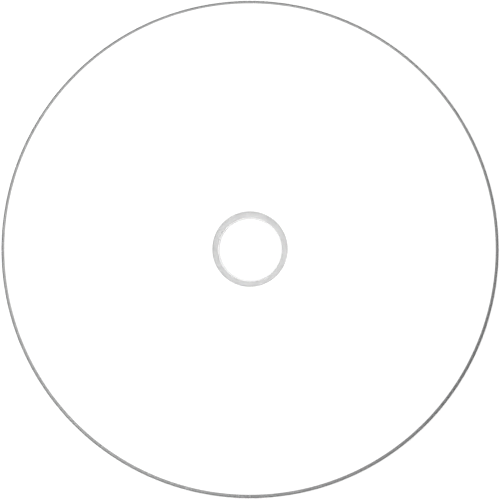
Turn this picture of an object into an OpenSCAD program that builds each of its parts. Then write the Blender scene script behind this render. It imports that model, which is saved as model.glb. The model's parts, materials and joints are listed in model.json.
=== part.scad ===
// A 120 mm optical disc with a plain white printable face.
// It lies with its read side down, on the crest of its stacking ring.
// The origin is on the axis of the centre hole, at the level of that crest.
// +Z points to the white face.

/* [Clear disc] */
// Outside diameter of the disc
disc_d = 120; // [118:0.5:124]
// Thickness of the clear plastic between its two faces
disc_t = 1.2; // [1.1:0.05:1.6]
// Rounding of the two edges of the rim
rim_r = 0.2; // [0.05:0.05:0.4]
// Diameter of the centre hole
hole_d = 15; // [14:0.1:16]
// Bevel along both edges of the centre hole
hole_bevel = 0.17; // [0.05:0.01:0.25]

/* [Read side] */
// Outside diameter of the sunk step that the mould leaves round the hole
hub_step_d = 21.5; // [19:0.5:24]
// How far that step is sunk into the read face
hub_step_depth = 0.1; // [0.05:0.05:0.2]
// Diameter of the stacking ring, measured at the middle of its crest
stack_ring_d = 35; // [33:0.5:38]
// Width of the flat crest that the disc lies on
stack_crest_w = 0.6; // [0.3:0.1:1.2]
// Width of the sloping flank on each side of the crest
stack_flank_w = 0.3; // [0.1:0.1:0.8]
// Height of the crest above the read face
stack_ring_h = 0.2; // [0.1:0.05:0.4]

/* [Layers on the label side] */
// Width of the bare plastic between the centre hole and the white coat
bare_hub_w = 1.6; // [1:0.1:4]
// Width of the bare plastic between the white coat and the rim
bare_rim_w = 0.7; // [0.55:0.05:1.2]
// How far the white coat reaches past the outer edge of the silver layer
coat_lap = 0.3; // [0.2:0.05:1]
// Inside diameter of the silver layer
silver_inner_d = 42; // [40:0.5:44]
// Thickness of the silver layer with the lacquer that seals it
silver_t = 0.02; // [0.01:0.005:0.03]
// Thickness of the white coat over the silver layer
coat_t = 0.03; // [0.01:0.005:0.08]
// How far the white coat is printed off the axis of the hole, towards +Y
coat_shift = 0.1; // [0:0.01:0.15]

/* [Hidden] */
// Facets of a full turn, and of the small circles that round the rim
round_fn = 360;
rim_fn = 48;
// How far a cut runs past the face that it opens
overrun = 0.5;

disc_r = disc_d / 2;
hole_r = hole_d / 2;
hub_step_r = hub_step_d / 2;
stack_ring_r = stack_ring_d / 2;
silver_inner_r = silver_inner_d / 2;
coat_inner_r = hole_r + bare_hub_w;
coat_outer_r = disc_r - bare_rim_w;
silver_outer_r = coat_outer_r - coat_lap;

// Heights of the read face, the sunk step and the label face above the crest of the stacking ring
read_z = stack_ring_h;
step_z = read_z + hub_step_depth;
label_z = read_z + disc_t;
// Height of the white coat above the label face
coat_rise = silver_t + coat_t;

// A flat ring between two radii, standing on the height z
module flat_ring(inner_r, outer_r, z, height) {
    translate([0, 0, z])
        linear_extrude(height)
            difference() {
                circle(r = outer_r, $fn = round_fn);
                circle(r = inner_r, $fn = round_fn);
            }
}

// Section of the flat web, with both edges of the rim rounded
module web_section() {
    web_outer_r = disc_r - rim_r;
    translate([hole_r, read_z])
        square([web_outer_r - hole_r, disc_t]);
    translate([web_outer_r - rim_r, read_z + rim_r])
        square([2 * rim_r, disc_t - 2 * rim_r]);
    for (z = [read_z + rim_r, label_z - rim_r])
        translate([web_outer_r, z])
            circle(r = rim_r, $fn = rim_fn);
}

// Section of the stacking ring, a low ridge with sloping flanks
module stacking_ring_section() {
    crest_r = stack_crest_w / 2;
    foot_r = crest_r + stack_flank_w;
    translate([stack_ring_r, 0])
        polygon([[-foot_r, read_z], [-crest_r, 0], [crest_r, 0], [foot_r, read_z]]);
}

// Section of the sunk step round the hole, cut out of the read face, with a 45 degree wall
module hub_step_section() {
    floor_r = hub_step_r - hub_step_depth;
    mouth_r = hub_step_r + overrun;
    polygon([
        [hole_r - overrun, read_z - overrun],
        [mouth_r, read_z - overrun],
        [floor_r, step_z],
        [hole_r - overrun, step_z]
    ]);
}

// Section of the bevel on the edge of the hole at the height z
// side is 1 on the label face and -1 on the read side
module hole_bevel_section(z, side) {
    tip = hole_bevel + overrun;
    translate([hole_r, z])
        polygon([[-overrun, side * overrun], [-overrun, -side * tip], [tip, side * overrun]]);
}

// The moulded disc of clear plastic
module substrate() {
    color([0.86, 0.89, 0.89, 0.45])
        rotate_extrude($fn = round_fn)
            difference() {
                union() {
                    web_section();
                    stacking_ring_section();
                }
                hub_step_section();
                hole_bevel_section(label_z, 1);
                hole_bevel_section(step_z, -1);
            }
}

// The silver layer over the data area, laid on the clear plastic
module reflective_layer() {
    color("silver")
        flat_ring(silver_inner_r, silver_outer_r, label_z, silver_t);
}

// The white coat, which lies on the clear plastic and closes over the silver layer
module printable_coat() {
    color("white")
        difference() {
            translate([0, coat_shift, 0])
                flat_ring(coat_inner_r, coat_outer_r, label_z, coat_rise);
            flat_ring(silver_inner_r, silver_outer_r, label_z - overrun, overrun + silver_t);
        }
}

substrate();
reflective_layer();
printable_coat();
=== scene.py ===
import json
import math

import bmesh
import bpy
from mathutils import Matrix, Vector


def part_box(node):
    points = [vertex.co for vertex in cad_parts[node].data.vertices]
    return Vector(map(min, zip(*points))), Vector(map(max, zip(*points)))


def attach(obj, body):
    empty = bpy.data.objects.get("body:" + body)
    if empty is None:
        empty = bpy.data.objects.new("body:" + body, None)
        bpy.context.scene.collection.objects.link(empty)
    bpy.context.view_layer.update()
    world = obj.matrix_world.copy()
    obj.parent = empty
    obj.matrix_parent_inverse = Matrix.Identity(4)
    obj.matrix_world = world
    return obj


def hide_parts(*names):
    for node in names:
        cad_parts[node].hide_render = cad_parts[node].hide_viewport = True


MM = 0.001

# The photograph's width, and the radius that the disc's rim has in it
PHOTO_WIDTH_PX = 500
RIM_RADIUS_PX = 248.6

# The disc's section
RIM_ROUND = 0.2 * MM
HOLE_BEVEL = 0.17 * MM
HUB_STEP_RADIUS = 10.75 * MM
HUB_STEP_DEPTH = 0.1 * MM
STACK_RING_RADIUS = 17.5 * MM
STACK_CREST_WIDTH = 0.6 * MM
STACK_FLANK_WIDTH = 0.3 * MM
STACK_RING_HEIGHT = 0.2 * MM
SILVER_INNER_RADIUS = 21.0 * MM
COAT_INNER_RADIUS = 9.1 * MM
LAYER_GAP = 0.002 * MM
# A narrow flat beside the hole's rounded edge, which keeps the shading of the rest flat
EDGE_HOLD = 0.02 * MM

# Steps of a full turn, and of a quarter round at the rim
TURN_STEPS = 360
ROUND_STEPS = 8
SHARP_DEG = 30

# The length after which a wave texture of scale 1 repeats
WAVE_LENGTH = math.tau / 20

# The data side, outwards from the silver's inner edge: blank mirror band, then the tracks
MIRROR_BAND_END = 22.4 * MM
TRACKS_END = 58.4 * MM
ZONE_BLUR = 0.05 * MM
MIRROR_COLOUR = (0.90, 0.91, 0.91, 1)
TRACK_COLOUR = (0.74, 0.80, 0.80, 1)

# The camera's lens
LENS_MM = 150.0
SENSOR_MM = 36.0

# Soft lamps in a ring round the camera
LAMP_COUNT = 8
LAMP_DISTANCE = 1.2
LAMP_TILT_DEG = 14
LAMP_SIZE = 0.22
LAMP_POWER = 1.8

# The studio's pale wall, up to a height given as a slope, and its ceiling
WALL_BRIGHTNESS = 0.7
CEILING_BRIGHTNESS = 0.49
WALL_TOP = 0.3
CEILING_START = 0.4

# The side of the studio where both fade out, as the darker arc of the rim shows
DIM_SIDE_DEG = -28
DIM_SHARPNESS = 3
DIM_FROM = 0.2
DIM_FULL = 0.8

FLOOR_SIZE = 2.0

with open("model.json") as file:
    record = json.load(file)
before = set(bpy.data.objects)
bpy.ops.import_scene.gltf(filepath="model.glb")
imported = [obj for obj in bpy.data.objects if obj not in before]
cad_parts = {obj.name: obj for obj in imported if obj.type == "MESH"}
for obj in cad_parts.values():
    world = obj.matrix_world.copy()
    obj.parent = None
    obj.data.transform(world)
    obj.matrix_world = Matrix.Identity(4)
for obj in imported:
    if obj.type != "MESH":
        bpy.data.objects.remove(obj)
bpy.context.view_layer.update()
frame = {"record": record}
disc_low, disc_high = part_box("substrate")
silver_low, silver_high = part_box("reflective_layer")
coat_low, coat_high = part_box("printable_coat")
mounts = {mount["name"]: mount for mount in frame["record"]["mounts"]}

hole_radius = mounts["centre_hole"]["dims"]["r_mm"] * MM
disc_radius = (disc_high[0] - disc_low[0]) / 2
silver_radius = (silver_high[0] - silver_low[0]) / 2
coat_radius = (coat_high[0] - coat_low[0]) / 2
coat_shift = (coat_high[1] + coat_low[1]) / 2
read_z = STACK_RING_HEIGHT
step_z = read_z + HUB_STEP_DEPTH
label_z = disc_high[2]

# Finishes of the disc, in the order of its material slots
CLEAR, HUB, HOLE, RIM, WALL, WHITE, SILVER = range(7)


def lathe(name, section, materials):
    """Turns a closed section round the hole's axis.

    A point of the section is its radius, height, shift along Y, and the finish of the stretch to the next point.
    """
    mesh = bpy.data.meshes.new(name)
    work = bmesh.new()
    turn = [math.tau * step / TURN_STEPS for step in range(TURN_STEPS)]
    rings = []
    for radius, height, shift, finish in section:
        ring = [work.verts.new((radius * math.cos(a), radius * math.sin(a) + shift, height)) for a in turn]
        rings.append((ring, finish))
    for (ring, finish), (after, after_finish) in zip(rings, rings[1:] + rings[:1]):
        for step in range(TURN_STEPS):
            ahead = (step + 1) % TURN_STEPS
            face = work.faces.new((ring[step], ring[ahead], after[ahead], after[step]))
            face.material_index = finish
            face.smooth = True
    bmesh.ops.recalc_face_normals(work, faces=work.faces)
    work.to_mesh(mesh)
    work.free()
    mesh.set_sharp_from_angle(angle=math.radians(SHARP_DEG))
    for material in materials:
        mesh.materials.append(material)
    piece = bpy.data.objects.new(name, mesh)
    bpy.context.scene.collection.objects.link(piece)
    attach(piece, "root")
    return piece


def quarter_round(centre_r, centre_z, size, start_deg, finish):
    """The section's points round one corner."""
    points = []
    for step in range(ROUND_STEPS + 1):
        a = math.radians(start_deg + 90 * step / ROUND_STEPS)
        points.append((centre_r + size * math.cos(a), centre_z + size * math.sin(a), 0, finish))
    return points


def substrate_section():
    """The moulded disc: hole, read side, rim and label side.

    Its label side has the finishes of the silver and the coat that lie on it, as they look through the plastic.
    """
    crest = STACK_CREST_WIDTH / 2
    foot = crest + STACK_FLANK_WIDTH
    hole_edge_r = hole_radius + HOLE_BEVEL
    rim_edge_r = disc_radius - RIM_ROUND
    hole = quarter_round(hole_edge_r, label_z - HOLE_BEVEL, HOLE_BEVEL, 90, HOLE)
    read_side = [
        (hole_radius, step_z + HOLE_BEVEL, 0, HOLE),
        (hole_edge_r, step_z, 0, CLEAR),
        (HUB_STEP_RADIUS - HUB_STEP_DEPTH, step_z, 0, CLEAR),
        (HUB_STEP_RADIUS, read_z, 0, CLEAR),
        (STACK_RING_RADIUS - foot, read_z, 0, CLEAR),
        (STACK_RING_RADIUS - crest, 0, 0, CLEAR),
        (STACK_RING_RADIUS + crest, 0, 0, CLEAR),
        (STACK_RING_RADIUS + foot, read_z, 0, CLEAR),
    ]
    rim = quarter_round(rim_edge_r, read_z + RIM_ROUND, RIM_ROUND, -90, WALL)
    rim += quarter_round(rim_edge_r, label_z - RIM_ROUND, RIM_ROUND, 0, RIM)
    label_side = [
        (coat_radius, label_z, coat_shift, WHITE),
        (silver_radius, label_z, 0, SILVER),
        (SILVER_INNER_RADIUS, label_z, 0, WHITE),
        (COAT_INNER_RADIUS, label_z, coat_shift, HUB),
        (hole_edge_r + EDGE_HOLD, label_z, 0, HUB),
    ]
    return hole + read_side + rim + label_side


def silver_section():
    """The thin metal layer."""
    base_z = label_z + LAYER_GAP
    silver_z = silver_high[2]
    return [
        (SILVER_INNER_RADIUS, base_z, 0, 0),
        (silver_radius, base_z, 0, 0),
        (silver_radius, silver_z, 0, 0),
        (SILVER_INNER_RADIUS, silver_z, 0, 0),
    ]


def coat_section():
    """The white coat over the silver, printed a little off the disc's centre."""
    base_z = label_z + LAYER_GAP
    silver_z = silver_high[2]
    coat_z = coat_high[2]
    return [
        (COAT_INNER_RADIUS, base_z, coat_shift, 0),
        (SILVER_INNER_RADIUS, base_z, 0, 0),
        (SILVER_INNER_RADIUS, silver_z, 0, 0),
        (silver_radius, silver_z, 0, 0),
        (silver_radius, base_z, 0, 0),
        (coat_radius, base_z, coat_shift, 0),
        (coat_radius, coat_z, coat_shift, 0),
        (COAT_INNER_RADIUS, coat_z, coat_shift, 0),
    ]


class Finish:
    """A material with a Principled shader, and short ways to add detail to it."""

    def __init__(self, name, **values):
        self.material = bpy.data.materials.new(name)
        self.material.use_nodes = True
        self.nodes = self.material.node_tree.nodes
        self.links = self.material.node_tree.links
        self.shader = self.nodes["Principled BSDF"]
        for socket, value in values.items():
            self.shader.inputs[socket.replace("_", " ")].default_value = value

    def place(self):
        return self.nodes.new("ShaderNodeTexCoord").outputs["Object"]

    def noise(self, size, detail=2.0):
        """Grain of about this size."""
        grain = self.nodes.new("ShaderNodeTexNoise")
        grain.inputs["Scale"].default_value = 1 / size
        grain.inputs["Detail"].default_value = detail
        self.links.new(self.place(), grain.inputs["Vector"])
        return grain.outputs["Fac"]

    def circles(self, pitch, waver=0.0, shape="RINGS"):
        """Circles round the hole's axis at this pitch, side by side as RINGS or above each other as BANDS."""
        wave = self.nodes.new("ShaderNodeTexWave")
        wave.wave_type = shape
        wave.rings_direction = "Z"
        wave.bands_direction = "Z"
        wave.inputs["Scale"].default_value = WAVE_LENGTH / pitch
        wave.inputs["Distortion"].default_value = waver
        self.links.new(self.place(), wave.inputs["Vector"])
        return wave.outputs["Fac"]

    def vector_math(self, operation, vector, second=(0, 0, 0)):
        node = self.nodes.new("ShaderNodeVectorMath")
        node.operation = operation
        node.inputs[1].default_value = second
        self.links.new(vector, node.inputs[0])
        return node.outputs["Value" if operation in ("LENGTH", "DOT_PRODUCT") else "Vector"]

    def math(self, operation, value, second):
        """One sum on a value; the second term is a number or another value."""
        node = self.nodes.new("ShaderNodeMath")
        node.operation = operation
        self.links.new(value, node.inputs[0])
        if isinstance(second, (int, float)):
            node.inputs[1].default_value = second
        else:
            self.links.new(second, node.inputs[1])
        return node.outputs["Value"]

    def outwards(self):
        """The way from the hole's axis, level with the disc."""
        return self.vector_math("MULTIPLY", self.place(), (1, 1, 0))

    def fan(self, direction_deg, narrowness):
        """1 along a line through the axis, falling to 0 on both sides of it."""
        a = math.radians(direction_deg)
        unit = self.vector_math("NORMALIZE", self.outwards())
        along = self.vector_math("DOT_PRODUCT", unit, (math.cos(a), math.sin(a), 0))
        return self.math("POWER", self.math("MULTIPLY", along, along), narrowness)

    def spread(self, value, low, high, start=0.3, end=0.7):
        """Stretches a value from start..end to low..high."""
        span = self.nodes.new("ShaderNodeMapRange")
        span.inputs["From Min"].default_value = start
        span.inputs["From Max"].default_value = end
        span.inputs["To Min"].default_value = low
        span.inputs["To Max"].default_value = high
        self.links.new(value, span.inputs["Value"])
        return span.outputs["Result"]

    def blend(self, value, *colours):
        """A colour between two, by a value from 0 to 1; each is fixed or comes from a node."""
        mix = self.nodes.new("ShaderNodeMix")
        mix.data_type = "RGBA"
        for colour, socket in zip(colours, (mix.inputs[6], mix.inputs[7])):
            if isinstance(colour, tuple):
                socket.default_value = colour
            else:
                self.links.new(colour, socket)
        self.links.new(value, mix.inputs[0])
        return mix.outputs[2]

    def drive(self, socket, value):
        self.links.new(value, self.shader.inputs[socket])

    def bump(self, *heights):
        """Surface relief: pairs of a height value and its depth."""
        normal = None
        for value, depth in heights:
            relief = self.nodes.new("ShaderNodeBump")
            relief.inputs["Distance"].default_value = depth
            self.links.new(value, relief.inputs["Height"])
            if normal:
                self.links.new(normal, relief.inputs["Normal"])
            normal = relief.outputs["Normal"]
        self.drive("Normal", normal)


def clear_plastic():
    """Polycarbonate as it leaves the mould: clear and glossy, with faint flow lines and hairline wear."""
    look = Finish("clear_plastic", IOR=1.585, Transmission_Weight=1.0, Base_Color=(1, 1, 1, 1))
    look.drive("Roughness", look.spread(look.noise(1.5 * MM, 4.0), 0.0, 0.04))
    look.bump((look.noise(6 * MM), 0.002 * MM), (look.circles(0.5 * MM, 1.0), 0.0002 * MM))
    return look.material


def hub_plastic():
    """The bare ring round the hole, a little hazy where the lacquer thins out over it."""
    look = Finish("hub_plastic", IOR=1.585, Transmission_Weight=0.7, Base_Color=(0.96, 0.96, 0.96, 1))
    look.drive("Roughness", look.spread(look.noise(1.5 * MM, 4.0), 0.02, 0.08))
    look.bump((look.noise(6 * MM), 0.002 * MM))
    return look.material


def rim_plastic_painted_shade():
    """The rim's rounded edge, dulled where the mould parts and by the lacquer spun over it, with a dark grey base
    colour that is painted shade: the dark line the clear edge shows above the shaded floor under the disc.
    """
    # The dark grey base colour is painted shade: it darkens the clear edge to the tone the shaded floor beneath gives
    # it from above
    look = Finish("rim_plastic_painted_shade", IOR=1.585, Transmission_Weight=0.8, Base_Color=(0.12, 0.12, 0.12, 1))
    look.drive("Roughness", look.spread(look.noise(0.4 * MM), 0.25, 0.35))
    look.bump((look.noise(0.15 * MM), 0.004 * MM))
    return look.material


def wall_plastic():
    """The rim's outer wall, left satin by the mould, with the faint lines of the mould's turned ring."""
    look = Finish("wall_plastic", IOR=1.585, Transmission_Weight=0.5)
    lines = look.circles(0.24 * MM, 0.6, "BANDS")
    look.drive("Base Color", look.blend(lines, (0.88, 0.90, 0.90, 1), (0.94, 0.95, 0.95, 1)))
    look.drive("Roughness", look.spread(look.noise(0.5 * MM), 0.3, 0.45))
    look.bump((look.noise(0.1 * MM), 0.004 * MM), (lines, 0.006 * MM))
    return look.material


def hole_plastic():
    """The hole's wall, frosted where the punch cuts it."""
    look = Finish("hole_plastic", IOR=1.585, Transmission_Weight=0.1, Base_Color=(0.98, 0.98, 0.98, 1))
    look.drive("Roughness", look.spread(look.noise(0.3 * MM), 0.45, 0.65))
    look.bump((look.noise(0.1 * MM), 0.006 * MM))
    return look.material


def silver_layer():
    """The metal layer: a blank mirror band, then the tracks.

    The tracks comb the gloss round the disc. Faint rainbow colours in fixed fan shapes are painted into their base
    colour: a painted diffraction highlight that stays put on the disc.
    """
    look = Finish("silver_layer", Metallic=1.0, Anisotropic=0.6)
    ring = look.vector_math("LENGTH", look.outwards())
    inside = look.spread(ring, 0, 1, MIRROR_BAND_END - ZONE_BLUR, MIRROR_BAND_END + ZONE_BLUR)
    outside = look.spread(ring, 1, 0, TRACKS_END - ZONE_BLUR, TRACKS_END + ZONE_BLUR)
    tracks = look.math("MULTIPLY", inside, outside)
    # Painted diffraction highlight: rainbow colour painted into the base colour in two fixed fan shapes, shifting with
    # the radius
    painted_rainbow_fans = look.math("MAXIMUM", look.fan(20, 9), look.fan(118, 16))
    painted_rainbow_hue = look.math("ADD", look.spread(ring, 0, 1.7, MIRROR_BAND_END, TRACKS_END), look.math("MULTIPLY", painted_rainbow_fans, 0.25))
    painted_rainbow = look.nodes.new("ShaderNodeCombineColor")
    painted_rainbow.mode = "HSV"
    look.links.new(look.math("MODULO", painted_rainbow_hue, 1), painted_rainbow.inputs[0])
    painted_rainbow.inputs[1].default_value = 0.55
    painted_rainbow.inputs[2].default_value = 0.95
    plain = look.blend(tracks, MIRROR_COLOUR, TRACK_COLOUR)
    colour_with_painted_rainbow = look.blend(look.math("MULTIPLY", look.math("MULTIPLY", painted_rainbow_fans, tracks), 0.5), plain, painted_rainbow.outputs["Color"])
    look.drive("Base Color", colour_with_painted_rainbow)
    look.drive("Roughness", look.spread(tracks, 0.06, 0.16, 0, 1))
    tangent = look.nodes.new("ShaderNodeTangent")
    tangent.direction_type = "RADIAL"
    tangent.axis = "Z"
    look.drive("Tangent", tangent.outputs["Tangent"])
    look.bump((look.noise(9 * MM), 0.002 * MM))
    return look.material


def white_coat():
    """The white coat that takes ink: matte, with a fine mineral grain."""
    look = Finish("white_coat")
    look.drive("Base Color", look.blend(look.noise(0.6 * MM, 4.0), (0.89, 0.89, 0.89, 1), (0.91, 0.91, 0.91, 1)))
    look.drive("Roughness", look.spread(look.noise(0.25 * MM, 4.0), 0.5, 0.62))
    look.bump((look.noise(0.12 * MM, 3.0), 0.004 * MM), (look.noise(1.2 * MM), 0.003 * MM))
    return look.material


def pale_floor():
    """A plain pale table with a faint paper grain."""
    look = Finish("pale_floor")
    look.drive("Base Color", look.blend(look.noise(2 * MM, 4.0), (0.91, 0.91, 0.91, 1), (0.93, 0.93, 0.93, 1)))
    look.drive("Roughness", look.spread(look.noise(1 * MM), 0.4, 0.5))
    return look.material


def make_floor():
    """The table that the disc's stacking ring rests on."""
    bpy.ops.mesh.primitive_plane_add(size=FLOOR_SIZE)
    floor = bpy.context.object
    floor.name = "floor"
    floor.data.materials.append(pale_floor())


def make_lamp(number):
    """One soft lamp of the ring round the camera."""
    tilt = math.radians(LAMP_TILT_DEG)
    a = math.tau * (number + 0.5) / LAMP_COUNT
    data = bpy.data.lights.new(f"lamp_{number}", "AREA")
    data.shape = "DISK"
    data.size = LAMP_SIZE
    facing = max(0, math.cos(a - math.radians(DIM_SIDE_DEG)))
    data.energy = LAMP_POWER * (1 - facing ** DIM_SHARPNESS)
    lamp = bpy.data.objects.new(f"lamp_{number}", data)
    towards = Vector((math.sin(tilt) * math.cos(a), math.sin(tilt) * math.sin(a), math.cos(tilt)))
    lamp.location = LAMP_DISTANCE * towards
    lamp.rotation_euler = towards.to_track_quat("Z", "Y").to_euler()
    bpy.context.scene.collection.objects.link(lamp)


def make_studio():
    """The pale wall all round and the dim ceiling."""
    world = bpy.data.worlds.new("studio")
    world.use_nodes = True
    nodes, links = world.node_tree.nodes, world.node_tree.links
    direction = nodes.new("ShaderNodeTexCoord")
    parts = nodes.new("ShaderNodeSeparateXYZ")
    rise = nodes.new("ShaderNodeMapRange")
    rise.inputs["From Min"].default_value = WALL_TOP
    rise.inputs["From Max"].default_value = CEILING_START
    side = nodes.new("ShaderNodeVectorMath")
    side.operation = "DOT_PRODUCT"
    dim_side = math.radians(DIM_SIDE_DEG)
    side.inputs[1].default_value = (math.cos(dim_side), math.sin(dim_side), 0)
    dim = nodes.new("ShaderNodeMapRange")
    dim.interpolation_type = "SMOOTHSTEP"
    dim.inputs["From Min"].default_value = DIM_FROM
    dim.inputs["From Max"].default_value = DIM_FULL
    dim.inputs["To Min"].default_value = CEILING_BRIGHTNESS
    dim.inputs["To Max"].default_value = 0
    room = nodes.new("ShaderNodeMix")
    room.inputs["A"].default_value = WALL_BRIGHTNESS
    links.new(direction.outputs["Generated"], parts.inputs["Vector"])
    links.new(direction.outputs["Generated"], side.inputs[0])
    links.new(parts.outputs["Z"], rise.inputs["Value"])
    links.new(side.outputs["Value"], dim.inputs["Value"])
    links.new(rise.outputs["Result"], room.inputs["Factor"])
    links.new(dim.outputs["Result"], room.inputs["B"])
    links.new(room.outputs["Result"], nodes["Background"].inputs["Strength"])
    nodes["Background"].inputs["Color"].default_value = (1, 1, 1, 1)
    bpy.context.scene.world = world


def make_camera():
    """Looks straight down on the white face, with the rim just inside the frame, as in the photograph."""
    data = bpy.data.cameras.new("camera")
    data.lens = LENS_MM
    data.sensor_width = SENSOR_MM
    data.clip_start = 0.01
    frame_width = PHOTO_WIDTH_PX / RIM_RADIUS_PX * disc_radius
    camera = bpy.data.objects.new("camera", data)
    camera.location = (0, 0, coat_high[2] + frame_width * LENS_MM / SENSOR_MM)
    bpy.context.scene.collection.objects.link(camera)
    bpy.context.scene.camera = camera


white = white_coat()
silver = silver_layer()
disc_finishes = [clear_plastic(), hub_plastic(), hole_plastic(), rim_plastic_painted_shade(), wall_plastic(), white, silver]
clear_disc = lathe("clear_disc", substrate_section(), disc_finishes)
silver_film = lathe("silver_film", silver_section(), [silver])
white_face = lathe("white_face", coat_section(), [white])
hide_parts("substrate")
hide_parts("reflective_layer")
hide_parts("printable_coat")

make_floor()
for number in range(LAMP_COUNT):
    make_lamp(number)
make_studio()
make_camera()
bpy.context.scene.view_settings.view_transform = "Standard"
